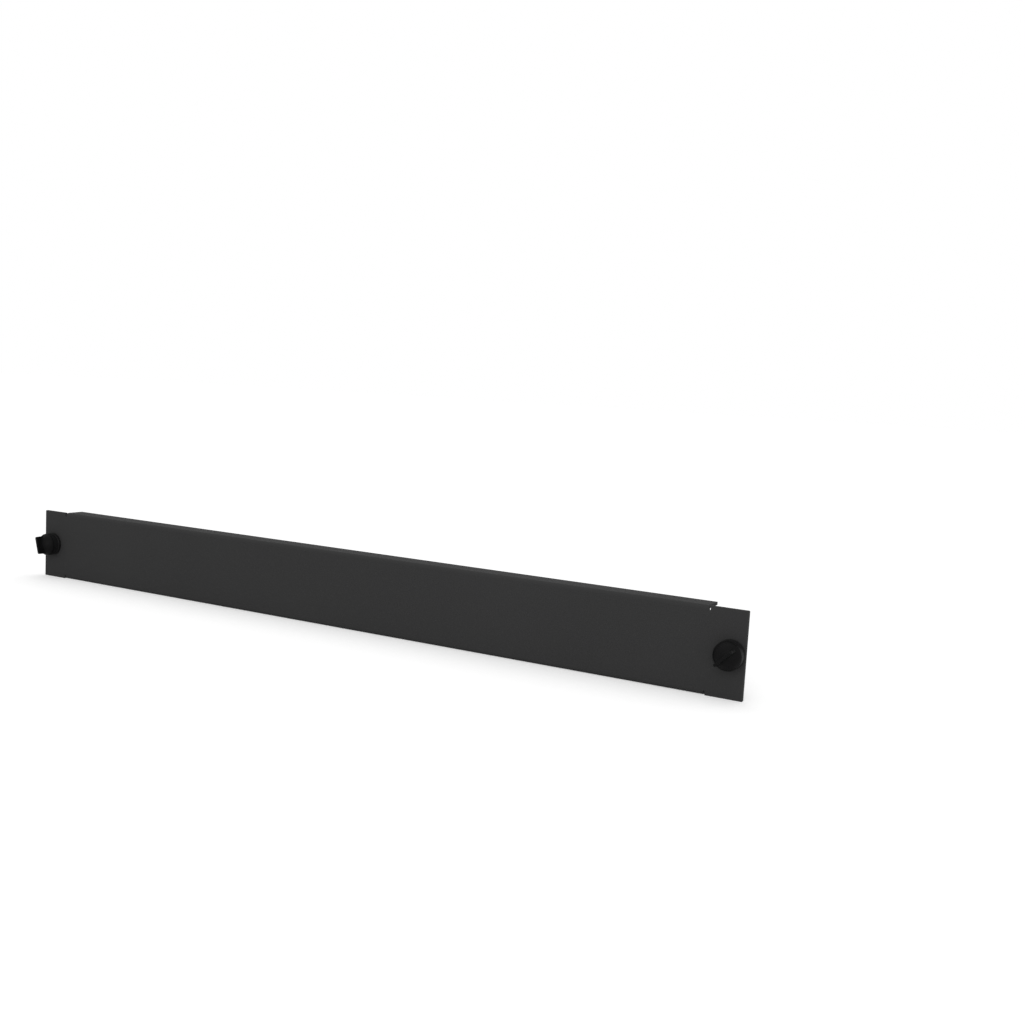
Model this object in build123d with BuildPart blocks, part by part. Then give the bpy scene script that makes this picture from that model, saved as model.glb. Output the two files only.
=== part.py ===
import os

from build123d import *

# A steel panel, folded along its long edges, that closes one empty unit of an equipment rack.
# It has a nylon quarter-turn fastener at each end, which grips a square hole of the rack's rail.
# X runs along the panel, the front faces -Y and Z is up.
# The origin is the middle of the panel's rear face, which bears on the rails, level with the fasteners.

# Where the fasteners sit, the hole punched for each, and how far the panel's end and its flanges stand from it
fastener_spacing = 465.1
hole_radius = 5.0
hole_to_end = 7.45
hole_to_flange = 12.05

# Sheet steel panel
panel_height = 43.66
sheet = 1.5
inner_bend_radius = 0.6
flange_depth = 12.7
relief_width = 0.8
relief_margin = 0.2
corner_radius = 0.5

# Sleeve pressed into the panel
collar_radius = 7.3
collar_thickness = 1.8
collar_bevel = 0.5
neck_clearance = 0.02
plug_radius = 4.6
plug_length = 9.0
plug_taper_length = 1.8
plug_tip_radius = 3.9
slit_width = 1.2
throat_length = 1.4

# Turning stud with its knob
shank_radius = 3.0
running_clearance = 0.05
knob_radius = 7.1
knob_gap = 0.1
knob_skirt = 3.6
dome_height = 4.7
wing_width = 11.8
wing_root_thickness = 1.9
wing_reach = 11.1
wing_draft = 2.0
wing_corner_radius = 0.9
wing_bevel = 0.25
cam_thickness = 4.2
cam_clearance = 0.1
stud_neck_radius = 2.2
head_radius = 2.9
head_length = 1.6
head_chamfer = 0.7
head_gap = 0.15

# Stop that ends the quarter turn: a peg under the knob runs in a curved groove in the collar
peg_radius = 0.6
peg_circle = 5.0
peg_length = 0.8
peg_clearance = 0.1
quarter_turn = 90.0

# How each wing stands, in degrees anticlockwise from level seen from the front: where it locks, and how far
# it is turned back from there
left_lock_angle = 15.0
left_turned_back = 90.0
right_lock_angle = 0.0
right_turned_back = 45.0

# Sizes that follow from those above
panel_width = fastener_spacing + 2 * hole_to_end
flange_length = fastener_spacing - 2 * hole_to_flange
outer_bend_radius = inner_bend_radius + sheet
relief_depth = outer_bend_radius + relief_margin
neck_radius = hole_radius - neck_clearance
bore_radius = shank_radius + running_clearance
cam_room_radius = shank_radius + cam_clearance
throat_radius = stud_neck_radius + running_clearance
collar_front = sheet + collar_thickness
knob_base = collar_front + knob_gap
groove_depth = peg_length + peg_clearance
skirt_top = knob_base + knob_skirt
dome_top = skirt_top + dome_height
throat_start = throat_length - plug_length
cam_end = throat_start + head_gap
head_base = -plug_length - head_gap


def fastener_plane(side, angle):
    """The panel's rear face at one fastener, seen from the front and turned anticlockwise by an angle."""
    wing_line = Vector(1, 0, 0).rotate(Axis.Y, -angle)
    return Plane(origin=(side * fastener_spacing / 2, 0, 0), x_dir=wing_line, z_dir=(0, -1, 0))


def profile_plane(seat):
    """A plane through the fastener's axis, with Y forwards along that axis."""
    return Plane(origin=seat.origin, x_dir=seat.x_dir, z_dir=-seat.y_dir)


# Panel: one sheet, sheared square, with both long edges folded back between the ears
with BuildPart() as panel:
    # the flat face, cut back along the folds and past their ends so that the bends don't tear
    with BuildSketch(Plane.XZ) as blank:
        RectangleRounded(panel_width, panel_height, corner_radius)
        with GridLocations(0, panel_height - relief_depth, 1, 2):
            Rectangle(flange_length + 2 * relief_width, relief_depth, mode=Mode.SUBTRACT)
    extrude(amount=sheet)
    # the folded channel between the ears, drawn along its inner side from one flange to the other
    with BuildLine(Plane.YZ.offset(flange_length / 2)) as fold:
        FilletPolyline(
            (flange_depth - sheet, panel_height / 2 - sheet),
            (0, panel_height / 2 - sheet),
            (0, sheet - panel_height / 2),
            (flange_depth - sheet, sheet - panel_height / 2),
            radius=inner_bend_radius,
        )
    make_brake_formed(thickness=sheet, station_widths=flange_length)
    # a round hole in each ear for the fastener
    with BuildSketch(Plane.XZ) as holes:
        with GridLocations(fastener_spacing, 0, 2, 1):
            Circle(hole_radius)
    extrude(amount=sheet, mode=Mode.SUBTRACT)
panel.part.label = "panel"


def make_sleeve(seat, label):
    """Collar, pressed neck and split plug, moulded in one and bored right through for the stud."""
    axis = Axis(seat.origin, seat.z_dir)
    with BuildPart() as sleeve:
        # outside and bore, turned about the fastener's axis
        with BuildSketch(profile_plane(seat)) as section:
            with BuildLine():
                Polyline(
                    (throat_radius, -plug_length),
                    (plug_tip_radius, -plug_length),
                    (plug_radius, plug_taper_length - plug_length),
                    (plug_radius, 0),
                    (neck_radius, 0),
                    (neck_radius, sheet),
                    (collar_radius, sheet),
                    (collar_radius, collar_front),
                    (bore_radius, collar_front),
                    (bore_radius, 0),
                    (cam_room_radius, 0),
                    (cam_room_radius, throat_start),
                    (throat_radius, throat_start),
                    close=True,
                )
            make_face()
        revolve(axis=axis)
        collar_rim = sleeve.edges().filter_by(GeomType.CIRCLE).group_by(SortBy.RADIUS)[-1]
        chamfer(collar_rim.sort_by(axis)[-1], length=collar_bevel)
        # two crossed slits part the plug into four springy legs
        with BuildSketch(seat) as slits:
            Rectangle(2 * hole_radius, slit_width)
            Rectangle(slit_width, 2 * hole_radius)
        extrude(amount=-plug_length, mode=Mode.SUBTRACT)
        # curved groove for the stop peg, as long as the quarter turn
        with BuildSketch(seat.offset(collar_front)) as groove:
            with BuildLine(mode=Mode.PRIVATE) as peg_path:
                CenterArc((0, 0), peg_circle, 0, quarter_turn)
            SlotArc(peg_path.edge(), height=2 * (peg_radius + peg_clearance))
        extrude(amount=-groove_depth, mode=Mode.SUBTRACT)
    sleeve.part.label = label
    return sleeve.part


def make_knob(seat, label):
    """Domed knob with a thumb wing, and behind it the shank, flatted cam and retaining head of one stud."""
    axis = Axis(seat.origin, seat.z_dir)
    with BuildPart() as knob:
        # thumb wing, a little thinner and narrower outwards so that it leaves the mould, with eased edges
        with BuildSketch(seat.offset(skirt_top)) as wing:
            Rectangle(wing_width, wing_root_thickness)
        extrude(amount=wing_reach - knob_skirt, taper=wing_draft)
        across = knob.edges().filter_by(Axis(seat.origin, seat.y_dir))
        fillet(across.group_by(axis)[-1], radius=wing_corner_radius)
        broad_sides = knob.faces().sort_by(SortBy.AREA)[-2:]
        chamfer(broad_sides.edges().group_by(axis)[1:], length=wing_bevel)
        # dome and stud, turned about the fastener's axis
        with BuildSketch(profile_plane(seat)) as section:
            with BuildLine():
                Polyline(
                    (0, dome_top),
                    (0, head_base - head_length),
                    (head_radius - head_chamfer, head_base - head_length),
                    (head_radius, head_base - head_length + head_chamfer),
                    (head_radius, head_base),
                    (stud_neck_radius, head_base),
                    (stud_neck_radius, cam_end),
                    (shank_radius, cam_end),
                    (shank_radius, knob_base),
                    (knob_radius, knob_base),
                    (knob_radius, skirt_top),
                )
                TangentArc((0, dome_top), (knob_radius, skirt_top), tangent=(1, 0))
            make_face()
        revolve(axis=axis)
        # two flats on the shank make the cam that spreads the sleeve's legs
        with BuildSketch(seat) as flats:
            with GridLocations(0, cam_thickness + shank_radius, 1, 2):
                Rectangle(3 * shank_radius, shank_radius)
        extrude(amount=cam_end, mode=Mode.SUBTRACT)
        # stop peg under the knob, in line with the wing
        with BuildSketch(seat.offset(knob_base)) as peg:
            with Locations((peg_circle, 0)):
                Circle(peg_radius)
        extrude(amount=-(knob_gap + peg_length))
    knob.part.label = label
    return knob.part


left_sleeve = make_sleeve(fastener_plane(-1, left_lock_angle), "left_sleeve")
right_sleeve = make_sleeve(fastener_plane(1, right_lock_angle), "right_sleeve")
left_knob = make_knob(fastener_plane(-1, left_lock_angle + left_turned_back), "left_knob")
right_knob = make_knob(fastener_plane(1, right_lock_angle + right_turned_back), "right_knob")

os.makedirs("parts", exist_ok=True)
export_step(panel.part, "parts/panel.step")
export_step(left_sleeve, "parts/left_sleeve.step")
export_step(right_sleeve, "parts/right_sleeve.step")
export_step(left_knob, "parts/left_knob.step")
export_step(right_knob, "parts/right_knob.step")
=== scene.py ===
import math

import bpy
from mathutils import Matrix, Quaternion, Vector


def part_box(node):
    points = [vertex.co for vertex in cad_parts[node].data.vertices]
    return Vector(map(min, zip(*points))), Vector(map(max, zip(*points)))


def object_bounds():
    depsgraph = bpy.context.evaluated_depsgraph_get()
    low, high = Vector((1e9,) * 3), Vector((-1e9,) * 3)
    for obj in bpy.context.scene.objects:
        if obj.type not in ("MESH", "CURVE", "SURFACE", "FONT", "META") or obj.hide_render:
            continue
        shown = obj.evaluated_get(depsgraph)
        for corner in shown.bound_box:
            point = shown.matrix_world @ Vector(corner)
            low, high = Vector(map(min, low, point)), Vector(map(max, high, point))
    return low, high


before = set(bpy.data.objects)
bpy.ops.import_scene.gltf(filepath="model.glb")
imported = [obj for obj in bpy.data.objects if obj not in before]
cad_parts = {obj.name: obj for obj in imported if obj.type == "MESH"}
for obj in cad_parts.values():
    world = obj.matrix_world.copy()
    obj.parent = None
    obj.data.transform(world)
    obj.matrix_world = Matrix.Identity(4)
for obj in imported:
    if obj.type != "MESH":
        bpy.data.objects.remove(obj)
solid_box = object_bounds()


# The panel is one sheet of 1.5 mm steel, sheared, punched for its fasteners and folded back along both
# long edges. It is powder coated all over once it is folded, in a black with a fine sandy texture that
# flows a little smoother round the bends and over the sheared ends.

class Level:
    """A value that varies over a surface. Sums and products of levels add the Math nodes for them."""

    def __init__(self, finish, socket):
        self.finish = finish
        self.socket = socket

    def worked(self, operation, first, second=0.0):
        return self.finish.add("ShaderNodeMath", {"operation": operation}, {0: first, 1: second})

    def __add__(self, other):
        return self.worked("ADD", self, other)

    def __radd__(self, other):
        return self.worked("ADD", other, self)

    def __sub__(self, other):
        return self.worked("SUBTRACT", self, other)

    def __rsub__(self, other):
        return self.worked("SUBTRACT", other, self)

    def __mul__(self, other):
        return self.worked("MULTIPLY", self, other)

    def __rmul__(self, other):
        return self.worked("MULTIPLY", other, self)

    def __abs__(self):
        return self.worked("ABSOLUTE", self)


class Finish:
    """A finish on a material, or on the world's air, built up node by node."""

    def __init__(self, block):
        self.block = block
        self.block.use_nodes = True
        self.tree = self.block.node_tree
        self.tree.nodes.clear()

    def add(self, kind, settings, values, output=0):
        """Adds a node: first its settings, then the values or links of its sockets."""
        node = self.tree.nodes.new(kind)
        for name, value in settings.items():
            setattr(node, name, value)
        for name, value in values.items():
            if isinstance(value, Level):
                self.tree.links.new(value.socket, node.inputs[name])
            else:
                node.inputs[name].default_value = value
        return Level(self, node.outputs[output]) if node.outputs else None

    def place(self, seat=(0, 0, 0), turn=0.0):
        """Where a point is, in metres, from a seat on the part and turned about the seat's own Y."""
        point = self.add("ShaderNodeTexCoord", {}, {}, "Object")
        values = {"Vector": point, "Location": seat, "Rotation": (0, turn, 0)}
        return self.add("ShaderNodeMapping", {"vector_type": "TEXTURE"}, values)

    def along(self, place, axis):
        """How far a point lies along one axis."""
        return self.add("ShaderNodeSeparateXYZ", {}, {"Vector": place}, axis)

    def grain(self, place, size, octaves):
        """Irregular grain with features about one size across, from 0 to 1."""
        return self.add("ShaderNodeTexNoise", {}, {"Vector": place, "Scale": 1 / size, "Detail": octaves})

    def window(self, level, low, high):
        """A soft rise from 0 at the first value to 1 at the second, which may be the lower one."""
        values = {"Value": level, "From Min": low, "From Max": high}
        return self.add("ShaderNodeMapRange", {"interpolation_type": "SMOOTHSTEP"}, values)

    def between(self, share, first, second):
        """A colour mixed from two others."""
        return self.add("ShaderNodeMix", {"data_type": "RGBA"}, {0: share, 6: first, 7: second}, 2)

    def relief(self, height, depth, rounding):
        """The way the surface faces, with its edges eased and a fine relief of some depth laid over it."""
        eased = self.add("ShaderNodeBevel", {"samples": 4}, {"Radius": rounding})
        return self.add("ShaderNodeBump", {}, {"Height": height, "Distance": depth, "Normal": eased})

    def coat(self, surface):
        """Ends the finish in the surface shader."""
        shader = self.add("ShaderNodeBsdfPrincipled", {}, surface)
        self.add("ShaderNodeOutputMaterial", {}, {"Surface": shader})

    def paint(self, node, surface):
        """Ends the finish, and puts it on a node of the frame."""
        self.coat(surface)
        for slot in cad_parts[node].material_slots:
            slot.material = self.block


panel_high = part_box("panel")[1]
bend_width = 0.0021
sheared_width = 0.0006
coat_rounding = 0.0004

sand_size = 0.0004
grit_size = 0.0006
grit_starts = 0.6
grit_full = 0.78
peel_size = 0.006
cloud_size = 0.07
coat_depth = 0.00011

coat_dark = (0.0275, 0.0275, 0.0277, 1)
coat_light = (0.0435, 0.0435, 0.0438, 1)
coat_speck = (0.055, 0.055, 0.0555, 1)
# painted highlight colour, laid on the sheared ends and the ears' top edges
painted_edge_highlight = (0.06, 0.06, 0.0605, 1)

powder = Finish(bpy.data.materials.new("black_powder_coat"))
spot = powder.place()
sand = powder.grain(spot, sand_size, 3)
grit = powder.window(powder.grain(spot, grit_size, 1), grit_starts, grit_full)
peel = powder.grain(spot, peel_size, 1)
cloud = powder.grain(spot, cloud_size, 2)
height_on_panel = abs(powder.along(spot, "Z"))
round_bend = powder.window(height_on_panel, panel_high.z - bend_width, panel_high.z - bend_width / 2)
over_end = powder.window(abs(powder.along(spot, "X")), panel_high.x - sheared_width, panel_high.x)
over_top = powder.window(height_on_panel, panel_high.z - sheared_width / 2, panel_high.z)
smoother = 0.45 * round_bend + 0.4 * over_end
texture = (0.62 * sand + 0.3 * grit) * (1 - smoother) + 0.2 * peel
shade = powder.between(0.7 * sand + 0.3 * cloud, coat_dark, coat_light)
speckled = powder.between(0.3 * grit, shade, coat_speck)
# The sheared ends and the ears' top edges are painted lighter: a painted highlight along them.
powder.paint("panel", {
    "Base Color": powder.between(0.6 * over_end + 0.3 * over_top, speckled, painted_edge_highlight),
    "Roughness": 0.74 + 0.14 * sand + 0.06 * cloud - 0.08 * smoother,
    "Specular IOR Level": 0.09,
    "Normal": powder.relief(texture, coat_depth, coat_rounding),
})


# Each sleeve is one moulding in black nylon: a flat collar in front of the panel, a neck pressed into the
# panel's hole, and a plug split into four springy legs behind it. The mould leaves a fine spark-eroded
# grain all over, and a shinier land on the collar's front and its bevelled rim.

collar_front = -0.0033
collar_bevel = 0.0005
collar_rounding = 0.00025
fastener_reach = (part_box("right_sleeve")[0].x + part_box("right_sleeve")[1].x) / 2

collar_spark_size = 0.00016
collar_flow_size = 0.0022
collar_depth = 0.00004
collar_dark = (0.0045, 0.0045, 0.0046, 1)
collar_light = (0.0085, 0.0085, 0.0087, 1)

for side, node in ((-1, "left_sleeve"), (1, "right_sleeve")):
    nylon = Finish(bpy.data.materials.new("sleeve_nylon_" + node))
    spot = nylon.place((side * fastener_reach, 0, 0))
    spark = nylon.grain(spot, collar_spark_size, 2)
    flow = nylon.grain(spot, collar_flow_size, 2)
    rearward = nylon.along(spot, "Y")
    land = nylon.window(rearward, collar_front + 1.6 * collar_bevel, collar_front + collar_bevel)
    nylon.paint(node, {
        "Base Color": nylon.between(0.6 * spark + 0.4 * flow, collar_dark, collar_light),
        "Roughness": 0.46 + 0.12 * spark + 0.08 * flow - 0.1 * land,
        "Specular IOR Level": 0.14,
        "Normal": nylon.relief(spark * (1 - 0.6 * land) + 0.3 * flow, collar_depth, collar_rounding),
    })


# Each knob and the stud behind it are one moulding in black nylon, turned by hand through a quarter turn.
# The dome keeps the mould's spark-eroded grain, and the wing in front of it is smoother, most at its tip.
# The skirt is painted a little greyer than the dome, as a painted highlight where it faces the light.
# A dark hairline seam parts it from the dome: a real groove, with painted shade in its colour.

skirt_front = -0.007
skirt_foot = -0.0034
wing_root = -0.0118
wing_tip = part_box("left_knob")[0].y
knob_rounding = 0.0003

seam_half_width = 0.0001
seam_fades_out = 0.0002
# where the painted highlight on the skirt begins and is full, just behind the dome
painted_light_starts = 0.0001
painted_light_full = 0.0007
foot_fades_over = 0.0004
root_fades_over = 0.0006
tip_fades_over = 0.0008

knob_spark_size = 0.00013
knob_flow_size = 0.0018
knob_depth = 0.000035
knob_dark = (0.0025, 0.0025, 0.0026, 1)
knob_light = (0.005, 0.005, 0.0052, 1)
# painted highlight: the skirt's colours are lighter than the dome's
painted_light_skirt_dark = (0.0075, 0.0075, 0.0077, 1)
painted_light_skirt_light = (0.0125, 0.0125, 0.0128, 1)
# painted shade in the seam's groove
seam_dark = (0.001, 0.001, 0.001, 1)

for side, node, wing_angle in ((-1, "left_knob", 105), (1, "right_knob", 45)):
    nylon = Finish(bpy.data.materials.new("knob_nylon_" + node))
    spot = nylon.place((side * fastener_reach, 0, 0), math.radians(-wing_angle))
    spark = nylon.grain(spot, knob_spark_size, 2)
    flow = nylon.grain(spot, knob_flow_size, 2)
    rearward = nylon.along(spot, "Y")
    drawn = nylon.window(rearward, wing_root, wing_root - root_fades_over)
    handled = nylon.window(rearward, wing_tip + tip_fades_over, wing_tip)
    seam = 1 - nylon.window(abs(rearward - skirt_front), seam_half_width, seam_fades_out)
    before_stud = 1 - nylon.window(rearward, skirt_foot, skirt_foot + foot_fades_over)
    behind_dome = nylon.window(rearward, skirt_front + painted_light_starts, skirt_front + painted_light_full)
    mottle = 0.6 * spark + 0.4 * flow
    plain = nylon.between(mottle, knob_dark, knob_light)
    skirt = nylon.between(mottle, painted_light_skirt_dark, painted_light_skirt_light)
    # the skirt, from the dome back to the stud, painted lighter as a painted highlight
    skirt_painted_lighter = nylon.between(behind_dome * before_stud, plain, skirt)
    texture = spark * (1 - 0.6 * drawn) + 0.4 * flow - 1.2 * seam
    nylon.paint(node, {
        # the seam is painted dark as painted shade over its groove
        "Base Color": nylon.between(seam, skirt_painted_lighter, seam_dark),
        "Roughness": 0.4 + 0.14 * spark + 0.08 * flow - 0.06 * drawn - 0.06 * handled,
        "Specular IOR Level": 0.09,
        "Normal": nylon.relief(texture, knob_depth, knob_rounding),
    })


# The part stands on its lower flange and its ears, on a pale studio floor. One broad soft lamp hangs above
# it and one stands before it. The floor and the air behind show white to the eye, and the floor keeps the
# soft shadow.

floor_level = solid_box[0].z
floor_half = 12.0
floor_mesh = bpy.data.meshes.new("floor")
floor_mesh.from_pydata(
    [(x * floor_half, y * floor_half, floor_level) for x, y in ((-1, -1), (1, -1), (1, 1), (-1, 1))],
    [], [(0, 1, 2, 3)],
)
floor = bpy.data.objects.new("floor", floor_mesh)
bpy.context.collection.objects.link(floor)

black = (0, 0, 0, 1)
white = (1, 1, 1, 1)
floor_grey = (0.8, 0.8, 0.8, 1)
glow_near = 0.32
glow_added_far = 0.3
far_starts = 0.5
far_full = 3.0

ground = Finish(bpy.data.materials.new("pale_floor"))
eye = ground.add("ShaderNodeLightPath", {}, {}, "Is Camera Ray")
from_part = ground.add("ShaderNodeVectorMath", {"operation": "LENGTH"}, {0: ground.place()}, "Value")
far = ground.window(from_part, far_starts, far_full)
ground.coat({
    "Base Color": floor_grey,
    "Roughness": 1.0,
    "Specular IOR Level": 0.0,
    "Emission Color": ground.between((glow_near + glow_added_far * far) * eye, black, white),
    "Emission Strength": 1.0,
})
floor_mesh.materials.append(ground.block)

air_light = 0.75
air = Finish(bpy.data.worlds.new("studio_air"))
seen = air.add("ShaderNodeLightPath", {}, {}, "Is Camera Ray")
brightness = air_light + (1 - air_light) * seen
backdrop = air.add("ShaderNodeBackground", {}, {"Color": white, "Strength": brightness})
air.add("ShaderNodeOutputWorld", {}, {"Surface": backdrop})
bpy.context.scene.world = air.block

for name, place, size, power in (
    ("lamp_above", Vector((-0.15, 0.25, 1.1)), 1.2, 2.4),
    ("lamp_before", Vector((0.5, -1.3, 0.6)), 1.0, 5.5),
):
    lamp_data = bpy.data.lights.new(name, "AREA")
    lamp_data.shape = "SQUARE"
    lamp_data.size = size
    lamp_data.energy = power
    lamp = bpy.data.objects.new(name, lamp_data)
    lamp.location = place
    lamp.rotation_euler = (-place).to_track_quat("-Z", "Y").to_euler()
    bpy.context.collection.objects.link(lamp)

# The camera looks down a little from the right, held at a slight tilt.
eye_place = Vector((0.38155, -0.51016, 0.1176))
eye_aim = Vector((0.11187, -0.0015, 0.05548))
eye_tilt = Quaternion((0, 0, 1), math.radians(3.2))
camera_data = bpy.data.cameras.new("camera")
camera_data.lens = 39.29
camera_data.sensor_width = 36.0
camera_data.clip_start = 0.01
camera = bpy.data.objects.new("camera", camera_data)
bpy.context.collection.objects.link(camera)
camera.rotation_mode = "QUATERNION"
camera.location = eye_place
camera.rotation_quaternion = (eye_aim - eye_place).to_track_quat("-Z", "Y") @ eye_tilt
bpy.context.scene.camera = camera
bpy.context.scene.view_settings.view_transform = "Standard"
